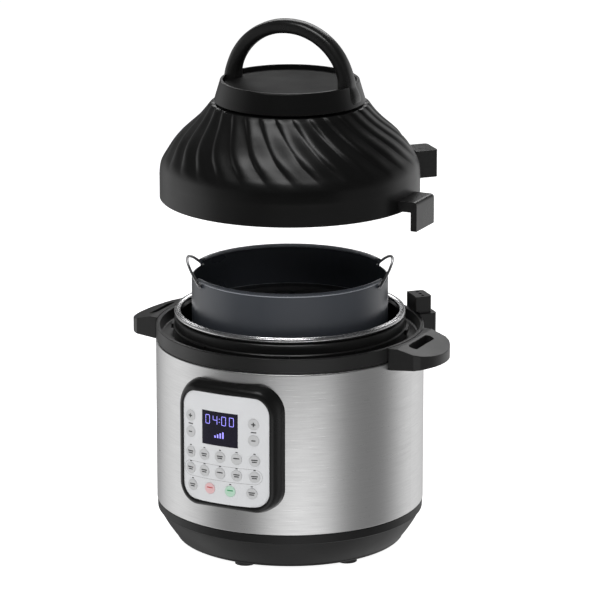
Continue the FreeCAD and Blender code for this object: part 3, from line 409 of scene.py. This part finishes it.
def eased(low, high, value):
    """0 below low, 1 above high, and a smooth step between."""
    share = min(1.0, max(0.0, (value - low) / (high - low)))
    return share * share * (3 - 2 * share)


def smoothed(points, count):
    """count points along a smooth curve through the given ones."""
    made = []
    last = len(points) - 1
    for n in range(count + 1):
        place = n / count * last
        at = min(int(place), last - 1)
        share = place - at
        p = [points[max(0, min(last, at + k))] for k in (-1, 0, 1, 2)]
        made.append(tuple(
            0.5 * (2 * p[1][i] + (p[2][i] - p[0][i]) * share
                   + (2 * p[0][i] - 5 * p[1][i] + 4 * p[2][i] - p[3][i]) * share**2
                   + (3 * p[1][i] - p[0][i] - 3 * p[2][i] + p[3][i]) * share**3)
            for i in (0, 1)))
    return made


def circle(radius, height, around):
    """Points evenly round the Z axis."""
    turns = [2 * math.pi * c / around for c in range(around)]
    return [(radius * math.cos(turn), radius * math.sin(turn), height) for turn in turns]


def capped(rows):
    """The rows with each open end drawn together to its centre."""

    def centre(row):
        return [tuple(sum(values) / len(row) for values in zip(*row))] * len(row)

    return [centre(rows[0])] + rows + [centre(rows[-1])]


# ---------------------------------------------------------------- lid dome

# The dome's slope as (height above the skirt's foot, distance in from the skirt), in mm.
DOME_SLOPE = [(0, 0), (10, 0), (20, 0), (27, 0), (35, 0.8), (40, 2.2), (45, 4.6), (50, 7.9), (55, 11.2),
              (60, 14.6), (65, 18.6), (70, 23.2), (76, 29.6), (81, 35.2), (88, 42.6), (95, 48.8),
              (101, 53.4)]
DOME_TOP_INSET = 56.4 * MM
DOME_WALL = 2.4 * MM
DOME_OPENING = 28 * MM
FOOT_ROUND = 0.6 * MM

def dome_profile():
    """(radius, height) points from the skirt's foot to the opening under the collar."""
    low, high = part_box("lid_shell")
    points = [(high.x - inset * MM, low.z + height * MM) for height, inset in DOME_SLOPE]
    points.append((high.x - DOME_TOP_INSET, high.z))
    return points


FLUTE_COUNT = 30
FLUTE_DEPTH = 2.6 * MM
FLUTE_SWEEP = 27.0
FLUTE_FROM = 38 * MM
FLUTE_TO = 104 * MM
FLUTE_SHALLOWING = 0.35
FLUTE_LEAN = 0.6


def lid_dome():
    """The dome with spiral flutes pressed into its slope, and a rolled foot with an inner wall."""
    low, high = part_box("lid_shell")
    profile = smoothed(dome_profile(), 110)
    flutes_low, flutes_high = low.z + FLUTE_FROM, low.z + FLUTE_TO
    around = 720
    rows = []
    for n, (radius, height) in enumerate(profile):
        rise = min(1.0, max(0.0, (height - flutes_low) / (flutes_high - flutes_low)))
        depth = FLUTE_DEPTH * eased(0.0, 0.35, rise) * (1 - FLUTE_SHALLOWING * rise)
        swirl = -math.radians(FLUTE_SWEEP) * rise
        row = []
        for c in range(around):
            angle = 2 * math.pi * c / around
            phase = (angle - swirl) * FLUTE_COUNT / (2 * math.pi) % 1.0
            ridge = phase**FLUTE_LEAN * 2 - 1
            valley = 0.5 - 0.5 * math.cos(math.pi * abs(ridge))
            reach = radius - depth * valley
            row.append((reach * math.cos(angle), reach * math.sin(angle), height))
        rows.append(row)
    skirt = profile[0][0]
    inner = [(radius - DOME_WALL, height) for radius, height in profile if height < high.z - DOME_WALL]
    back = [(skirt - FOOT_ROUND, low.z), (skirt - DOME_WALL + FOOT_ROUND, low.z)] + inner
    rows[0] = circle(skirt, low.z + FOOT_ROUND, around)
    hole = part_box("fan_motor")[1].x + DOME_OPENING
    opening = [circle(hole, high.z, around), circle(hole, high.z - DOME_WALL, around)]
    whole = [circle(*point, around) for point in reversed(back)] + rows + opening
    mesh = grid_mesh("lid_dome", whole, closed_along=True)
    piece("lid_dome", mesh, "lid", "lid black", ["lid_shell"])


# ---------------------------------------------------------------- pot rim

# The flange's upper side as (distance in from the rim's edge, drop below its top), in mm.
RIM_FLANGE = [(7.0, 3.0), (6.6, 0.8), (6.0, 0.2), (5.2, 0.8)]
RIM_UNDERSIDE = (5.8, 4.2)
RIM_ROLL = 2.5 * MM


def pot_rim():
    """The pot's turned-out rim: a flat flange with a rounded outer roll, in bare bright steel."""
    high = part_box("inner_pot")[1]
    outer, top = high.x, high.z
    profile = [(outer - inset * MM, top - drop * MM) for inset, drop in RIM_FLANGE]
    for n in range(11):
        angle = math.radians(120 - 26 * n)
        profile.append((outer - RIM_ROLL + RIM_ROLL * math.cos(angle),
                        top - RIM_ROLL + RIM_ROLL * math.sin(angle)))
    inset, drop = RIM_UNDERSIDE
    profile.append((outer - inset * MM, top - drop * MM))
    rows = [circle(radius, height, 256) for radius, height in smoothed(profile, 60)]
    mesh = grid_mesh("pot_rim", rows, closed_along=True)
    piece("pot_rim", mesh, "inner_pot", "rim steel")


# ---------------------------------------------------------------- basket edges

NOTCH_HALF = 26
BEAD = 2.1 * MM
BEAD_LIFT = 0.05 * MM
TRAY_EDGE = 0.8 * MM


def hoop(radius, height, thick, start=0.0, stop=360.0):
    """A round bar bent into an arc about the Z axis."""
    steps = max(8, int((stop - start) / 2))
    section = [2 * math.pi * k / 12 for k in range(12)]
    rows = []
    for n in range(steps + 1):
        turn = math.radians(start + (stop - start) * n / steps)
        row = []
        for angle in section:
            reach = radius + thick * math.cos(angle)
            row.append((reach * math.cos(turn), reach * math.sin(turn), height + thick * math.sin(angle)))
        rows.append(row)
    return rows


def basket_edges():
    """The rolled bead of the basket, broken at each wire handle, and the turned edge of its tray, as thin
    rings in a light grey that paints a highlight line along them.
    """
    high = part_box("basket")[1]
    wire_low, wire_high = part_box("right_wire_handle")
    wire = (wire_low + wire_high) / 2
    toward = math.degrees(math.atan2(wire.y, wire.x))
    for side, turn in (("front", 180), ("rear", 0)):
        rows = hoop(high.x - BEAD, high.z - BEAD + BEAD_LIFT, BEAD, toward + turn + NOTCH_HALF,
                    toward + turn + 180 - NOTCH_HALF)
        piece(f"basket_bead_{side}", grid_mesh(f"basket_bead_{side}", rows), "basket", "bead coating")
    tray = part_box("broil_tray")[1]
    rows = hoop(tray.x - 0.9 * MM, tray.z - 0.6 * MM, TRAY_EDGE)
    piece("tray_edge", grid_mesh("tray_edge", rows), "broil_tray", "bead coating")


# ---------------------------------------------------------------- carrying arch

ARCH_THICK = 15.5 * MM
ARCH_WIDTH = 20.0 * MM
LOBE_WIDTH = 26.0 * MM
LOBE_SWELL = 3.0 * MM
ARCH_INSET = 5.5 * MM
ARCH_BELOW_TOP = 1.0 * MM
ARCH_SPRING = 8 * MM
ARCH_FOOT = 5 * MM
# The lobe's side as (outward of the arch's centre line, height above the foot, share of the full lobe).
LOBE_SIDE = [(4.5, 0, 1.0), (4.2, 4, 1.0), (3.0, 8, 0.8)]
LOBE_AT_SPRING = 0.7
LOBE_FADE = 22


def rounded_section(across, along, count=40, squareness=2.7):
    """(across, along) points round a soft-cornered section."""
    points = []
    for n in range(count):
        angle = 2 * math.pi * n / count
        c, s = math.cos(angle), math.sin(angle)
        points.append((across / 2 * math.copysign(abs(c) ** (2 / squareness), c),
                       along / 2 * math.copysign(abs(s) ** (2 / squareness), s)))
    return points


def carrying_arch():
    """The arch as one smooth run, swelling at each foot into a lobe that wraps the collar."""
    collar_low, collar_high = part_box("lid_collar")
    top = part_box("lid_handle")[1].z - ARCH_BELOW_TOP
    reach = collar_high.x - ARCH_INSET - ARCH_THICK / 2
    spring = collar_high.z - ARCH_SPRING
    rise = top - ARCH_THICK / 2 - spring
    foot = collar_low.z + ARCH_FOOT
    side = [(reach + out * MM, foot + up * MM, lobe) for out, up, lobe in LOBE_SIDE]
    over = [(reach * math.cos(math.radians(a)), spring + rise * math.sin(math.radians(a)),
             LOBE_AT_SPRING * max(0.0, 1 - a / LOBE_FADE)) for a in range(3, 91, 7)]
    over[-1] = (0.0, over[-1][1], 0.0)
    half = side + over
    line = half + [(-x, z, lobe) for x, z, lobe in reversed(half[:-1])]
    path = smoothed([(x, z) for x, z, lobe in line], 150)
    lobes = [share for share, _ in smoothed([(lobe, 0.0) for x, z, lobe in line], 150)]
    rows = []
    for n, ((x, z), lobe) in enumerate(zip(path, lobes)):
        before, after = path[max(0, n - 1)], path[min(len(path) - 1, n + 1)]
        run = Vector((after[0] - before[0], after[1] - before[1])).normalized()
        wide = ARCH_WIDTH + (LOBE_WIDTH - ARCH_WIDTH) * eased(0, 1, lobe)
        thick = ARCH_THICK + LOBE_SWELL * eased(0, 1, lobe)
        close = 1 - 0.25 * (1 - eased(0, 2.5, min(n, len(path) - 1 - n)))
        rows.append([(x - run.y * out * close, across * close, z + run.x * out * close)
                     for out, across in rounded_section(thick, wide)])
    mesh = grid_mesh("carrying_arch", capped(rows))
    piece("carrying_arch", mesh, "lid", "arch black", ["lid_handle"])


# ---------------------------------------------------------------- control panel print

PANEL_RADIUS = 175 * MM
PANEL_AXIS = 13 * MM


def on_panel(across, height, proud):
    """A point on the panel's curved face, given distances in mm."""
    lean = math.asin(across * MM / PANEL_RADIUS)
    radius = PANEL_RADIUS + proud * MM
    return (radius * math.sin(lean), PANEL_AXIS - radius * math.cos(lean), height * MM)


class Print:
    """Flat marks laid on the panel's curved face, gathered into one mesh."""

    def __init__(self, proud=0.04):
        self.points = []
        self.faces = []
        self.proud = proud

    def patch(self, corners):
        """A four-cornered mark, cut into strips so that it follows the curve."""
        strips = 6
        (ax, az), (bx, bz), (cx, cz), (dx, dz) = corners
        first = len(self.points)
        for n in range(strips + 1):
            s = n / strips
            self.points.append(on_panel(ax + (bx - ax) * s, az + (bz - az) * s, self.proud))
            self.points.append(on_panel(dx + (cx - dx) * s, dz + (cz - dz) * s, self.proud))
        for n in range(strips):
            at = first + 2 * n
            self.faces.append((at, at + 2, at + 3, at + 1))

    def bar(self, x, z, width, height):
        """An upright oblong centred at (x, z)."""
        w, h = width / 2, height / 2
        self.patch([(x - w, z - h), (x + w, z - h), (x + w, z + h), (x - w, z + h)])

    def ring(self, x, z, radius, thick, start=0, stop=360):
        """A ring, or part of one, round (x, z)."""
        steps = max(6, int((stop - start) / 9))
        for n in range(steps):
            a, b = (math.radians(start + (stop - start) * (n + k) / steps) for k in (0, 1))
            inner, outer = radius - thick / 2, radius + thick / 2
            self.patch([(x + inner * math.cos(a), z + inner * math.sin(a)),
                        (x + outer * math.cos(a), z + outer * math.sin(a)),
                        (x + outer * math.cos(b), z + outer * math.sin(b)),
                        (x + inner * math.cos(b), z + inner * math.sin(b))])

    def finish(self, name, finish, body="cooker", slot="panel_silver"):
        """Makes the marks into one piece."""
        mesh = bpy.data.meshes.new(name)
        mesh.from_pydata(self.points, [], self.faces)
        mesh.update()
        return piece(name, mesh, body, finish)


def outline(half_width, half_height, corner, step=6):
    """(x, z) points round an oblong with round corners."""
    points = []
    for n, (sx, sz) in enumerate(((1, 1), (-1, 1), (-1, -1), (1, -1))):
        for k in range(0, 91, step):
            a = math.radians(90 * n + k)
            points.append((sx * (half_width - corner) + corner * math.cos(a),
                           sz * (half_height - corner) + corner * math.sin(a)))
    return points


# The frame's section in mm, outwards from the silver face: (distance out from its edge, depth behind it).
FRAME_SECTION = [(-0.4, 0.6), (-0.2, -0.5), (0.6, -1.2), (1.8, -1.5), (3.2, -1.3), (4.6, -0.4), (5.8, 1.2),
                 (6.8, 3.6), (7.6, 6.6), (8.2, 10.0), (8.6, 22.0)]
FRAME_LIP = 1.22
FACE_CORNER = 17.0
BAND_SINK = 0.3


def panel_frame():
    """The black frame as one soft-edged moulding that rolls back to the steel band."""
    low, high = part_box("panel_faceplate")
    middle = (low + high) / 2 / MM
    half_width, half_height = (high.x - low.x) / 2 / MM, (high.z - low.z) / 2 / MM
    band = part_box("outer_shell")[1].x / MM
    rows = []
    for out, depth in smoothed(FRAME_SECTION, 44):
        row = []
        for x, z in outline(half_width + out, half_height + out, FACE_CORNER + out):
            top_lip = 1 + (FRAME_LIP - 1) * eased(0.2, 0.9, z / half_height) if out > 0 else 1.0
            edge = math.copysign(half_height, z)
            z = edge + (z - edge) * top_lip
            face = math.sqrt(max(0.0, (PANEL_RADIUS / MM) ** 2 - x * x)) - PANEL_AXIS / MM - depth
            steel = math.sqrt(max(0.0, band**2 - x * x)) - BAND_SINK
            row.append((x * MM, -max(face, steel) * MM, (middle.z + z) * MM))
        rows.append(row)
    mesh = grid_mesh("panel_frame", rows)
    piece("panel_frame", mesh, "cooker", "bezel black", ["panel_bezel"])


def key_middle(name):
    """(across, height) of a key in mm, from where its CAD node stands."""
    low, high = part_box(KEY + name)
    middle = (low + high) / 2
    return middle.x / MM * PANEL_RADIUS / (PANEL_RADIUS - 0.9 * MM), middle.z / MM


SEGMENTS = {"0": "abcdef", "4": "bcfg"}
SEGMENT_THICK = 0.62
DIGIT_WIDTH = 4.8
DIGIT_HEIGHT = 9.6
DIGIT_PITCH = 9.2
DIGIT_DROP = 9.4
FIRST_DIGIT = 7.0
COLON_GAP = 1.2
COLON_PLACE = 21.4
COLON_DOT = 0.9
LEVEL_BARS = (2.4, 4.0, 5.6, 7.2)
LEVEL_DROP = 29.0


def digit(marks, x, z, shown):
    """A seven-segment digit centred at (x, z)."""
    thick = SEGMENT_THICK
    w, h = DIGIT_WIDTH / 2, DIGIT_HEIGHT / 2
    bars = {
        "a": (x, z + h, DIGIT_WIDTH, thick),
        "g": (x, z, DIGIT_WIDTH, thick),
        "d": (x, z - h, DIGIT_WIDTH, thick),
        "f": (x - w, z + h / 2, thick, h),
        "b": (x + w, z + h / 2, thick, h),
        "e": (x - w, z - h / 2, thick, h),
        "c": (x + w, z - h / 2, thick, h),
    }
    for segment in SEGMENTS[shown]:
        bx, bz, bw, bh = bars[segment]
        marks.bar(bx, bz, max(bw - thick * 0.6, thick), max(bh - thick * 0.6, thick))


def key_surrounds():
    """The silver skin that closes the slit round each key."""
    skin = Print(proud=0.03)
    for name in KEY_NAMES:
        x, z = key_middle(name)
        low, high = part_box(KEY + name)
        skin.ring(x, z, (high.z - low.z) / 2 / MM + 0.2, 0.8)
    skin.finish("key_surrounds", "faceplate silver")


def display_print():
    """The display's four lit digits with their colon, and four rising bars under them."""
    low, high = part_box("display_window")
    left, right = low.x / MM, high.x / MM
    middle, top = (left + right) / 2, high.z / MM
    line = top - DIGIT_DROP
    marks = Print(proud=-0.05)
    for n, shown in enumerate("0400"):
        digit(marks, left + FIRST_DIGIT + DIGIT_PITCH * n + (COLON_GAP if n > 1 else 0), line, shown)
    for up in (-1.8, 1.8):
        marks.bar(left + COLON_PLACE, line + up, COLON_DOT, COLON_DOT)
    for n, tall in enumerate(LEVEL_BARS):
        marks.bar(middle - 5.4 + 3.2 * n, top - LEVEL_DROP + tall / 2, 1.6, tall)
    marks.finish("display_digits", "lit digits", slot="display_glass")


STROKE = 1.3


def key_prints():
    """Plain marks on the keys, each on its key's own body."""
    for name in KEY_NAMES:
        x, z = key_middle(name)
        marks = Print(proud=0.66)
        tint = {"cancel": "print red", "start": "print green"}.get(name, "print dark")
        if name.endswith(("plus", "minus")):
            marks.bar(x, z, 4.6, STROKE)
            if name.endswith("plus"):
                marks.bar(x, z, STROKE, 4.6)
        else:
            marks.bar(x, z + 1.0, 7.0, STROKE)
            if name not in ("cancel", "start", "lower_3", "upper_4"):
                marks.bar(x, z - 1.2, 5.4, STROKE)
        marks.finish(f"{name}_mark", tint, body=KEY + name, slot="key_grey")


OUTLINE_REACH = 8.4
OUTLINE_LINE = 0.35
OUTLINE_STEPS = 12


def panel_print():
    """Key lamps, the outline round the lower row and the short dashes between the plus and minus keys."""
    dark, grey = Print(), Print()
    for name in KEY_NAMES:
        if name.endswith(("plus", "minus")) or name == "cancel":
            continue
        x, z = key_middle(name)
        dark.bar(x, z + 7.7, 2.4, 1.1)
    for side in ("left", "right"):
        x, high = key_middle(side + "_plus")
        low = key_middle(side + "_minus")[1]
        dark.bar(x, (low + high) / 2, 6.0, STROKE)
    left, z = key_middle("lower_1")
    right = key_middle("lower_5")[0]
    length = (right - left) / OUTLINE_STEPS
    for up in (OUTLINE_REACH, -OUTLINE_REACH):
        for n in range(OUTLINE_STEPS):
            grey.bar(left + (right - left) * (n + 0.5) / OUTLINE_STEPS, z + up, length, OUTLINE_LINE)
    grey.ring(left, z, OUTLINE_REACH, OUTLINE_LINE, 90, 270)
    grey.ring(right, z, OUTLINE_REACH, OUTLINE_LINE, -90, 90)
    dark.finish("panel_lamps", "print dark")
    grey.finish("panel_outline", "print grey")


# ---------------------------------------------------------------- studio

CAMERA_AZIMUTH = 26.0
CAMERA_ELEVATION = 15.5
CAMERA_DISTANCE = 4.65
CAMERA_LENS = 255.0
TARGET_HEIGHT = 269 * MM
TARGET_SIDE = 11 * MM


def away(azimuth, elevation=0.0):
    """The direction out from the cooker; azimuth is measured from the panel's front."""
    a, e = math.radians(azimuth), math.radians(elevation)
    return Vector((math.sin(a) * math.cos(e), -math.cos(a) * math.cos(e), math.sin(e)))


def sideways(azimuth):
    """The level direction to the right, as seen from that azimuth."""
    a = math.radians(azimuth)
    return Vector((math.cos(a), math.sin(a), 0.0))


def place_camera():
    """A long lens a little above the cooker, aimed between the cooker and its lid."""
    back = away(CAMERA_AZIMUTH, CAMERA_ELEVATION)
    target = Vector((0, 0, TARGET_HEIGHT)) + sideways(CAMERA_AZIMUTH) * TARGET_SIDE
    camera = bpy.data.objects.new("camera", bpy.data.cameras.new("camera"))
    camera.data.lens = CAMERA_LENS
    camera.data.sensor_width = 36.0
    camera.location = target + back * CAMERA_DISTANCE
    camera.rotation_mode = "QUATERNION"
    camera.rotation_quaternion = (-back).to_track_quat("-Z", "Y")
    camera.data.clip_start = 0.05
    camera.data.clip_end = 50.0
    bpy.context.scene.collection.objects.link(camera)
    bpy.context.scene.camera = camera


def softbox(name, azimuth, elevation, distance, width, height, power, aim=0.25, glossy=True):
    """A flat soft light that faces the cooker."""
    back = away(azimuth, elevation)
    light = bpy.data.lights.new(name, "AREA")
    light.shape = "RECTANGLE"
    light.size = width
    light.size_y = height
    light.energy = power
    obj = bpy.data.objects.new(name, light)
    obj.location = Vector((0, 0, aim)) + back * distance
    obj.rotation_mode = "QUATERNION"
    obj.rotation_quaternion = (-back).to_track_quat("-Z", "Y")
    obj.visible_glossy = glossy
    bpy.context.scene.collection.objects.link(obj)


def card(name, azimuth, distance, width, low, high, grey):
    """An upright card that only the glossy parts see."""
    middle = away(azimuth) * distance
    side = sideways(azimuth) * width / 2
    corners = [middle + side * s + Vector((0, 0, z)) for s, z in
               ((-1, low), (1, low), (1, high), (-1, high))]
    mesh = bpy.data.meshes.new(name)
    mesh.from_pydata(corners, [], [(0, 1, 2, 3)])
    obj = bpy.data.objects.new(name, mesh)
    obj.data.materials.append(plastic(name + " paper", shade(grey), 0.9, edge=0.1, edge_highlight_share=0.0))
    obj.visible_camera = obj.visible_diffuse = obj.visible_shadow = False
    bpy.context.scene.collection.objects.link(obj)


# How bright the room's walls are, by azimuth from the camera's side: bright and dark upright panels.
WALLS = [(-180, 0.10), (-158, 0.18), (-132, 0.78), (-106, 1.00), (-84, 0.78), (-66, 0.20), (-30, 0.20),
         (-14, 0.92), (6, 1.15), (31, 0.94), (47, 0.20), (90, 0.18), (108, 0.70), (128, 0.98), (156, 0.74),
         (180, 0.10)]
WALL_TOP = 0.42
CEILING = 0.08
FLOOR_REACH = 6.0
FLOOR_GLOW = 0.95


def pale_room():
    """The surrounding light: upright panels round the sides, a dim ceiling, and plain white to the eye."""
    world = bpy.data.worlds.new("pale room")
    world.use_nodes = True
    bpy.context.scene.world = world
    tree = world.node_tree
    way = add(tree, "SeparateXYZ", _0=add(tree, "TexCoord").outputs["Generated"])
    turn = math_node(tree, "ARCTAN2", way.outputs[0], math_node(tree, "MULTIPLY", way.outputs[1], -1.0))
    share = math_node(tree, "MULTIPLY_ADD", turn, 1 / (2 * math.pi), 0.5 - CAMERA_AZIMUTH / 360)
    ramp = add(tree, "ValToRGB", _0=math_node(tree, "FRACT", share))
    stops = ramp.color_ramp.elements
    for n, (azimuth, bright) in enumerate(WALLS):
        stop = stops[n] if n < 2 else stops.new(1.0)
        stop.position = azimuth / 360 + 0.5
        stop.color = (bright, bright, bright, 1)
    fall = spread(tree, way.outputs[2], 0.02, WALL_TOP, 1.0, CEILING)
    walls = math_node(tree, "MULTIPLY", ramp.outputs[0], fall)
    eye = add(tree, "LightPath").outputs["Is Camera Ray"]
    seen = mixed(tree, eye, walls, (1, 1, 1, 1))
    tree.links.new(seen, tree.nodes["Background"].inputs["Color"])


def floor():
    """A wide white floor with its own light, so that it stays pale under the cooker."""
    reach = FLOOR_REACH
    mesh = bpy.data.meshes.new("floor")
    mesh.from_pydata([(-reach, -reach, 0), (reach, -reach, 0), (reach, reach, 0), (-reach, reach, 0)], [],
                     [(0, 1, 2, 3)])
    obj = bpy.data.objects.new("floor", mesh)
    bpy.context.scene.collection.objects.link(obj)
    made = plastic("floor white", shade(0.9), 0.7, edge=0.1, edge_highlight_share=0.0, depth=0.0)
    shader = made.node_tree.nodes["Principled BSDF"]
    shader.inputs["Emission Color"].default_value = (1, 1, 1, 1)
    shader.inputs["Emission Strength"].default_value = FLOOR_GLOW
    obj.data.materials.append(made)
    obj.visible_glossy = False


def studio():
    """A pale floor, a pale room and soft lights."""
    pale_room()
    floor()
    softbox("front fill", 0, 42, 1.8, 1.2, 1.0, 16, glossy=False)
    softbox("right fill", 95, 35, 1.8, 1.0, 1.0, 6, glossy=False)
    softbox("top softbox", 15, 72, 1.5, 0.9, 0.4, 7)
    softbox("rear strip", 180 + CAMERA_AZIMUTH, 34, 1.9, 1.7, 0.5, 8)
    card("front card", CAMERA_AZIMUTH, 1.2, 2.2, -0.08, 0.95, 0.0)
    bpy.context.scene.view_settings.view_transform = "Standard"


dress_frame()
lid_dome()
pot_rim()
basket_edges()
carrying_arch()
panel_frame()
key_surrounds()
display_print()
key_prints()
panel_print()
studio()
place_camera()
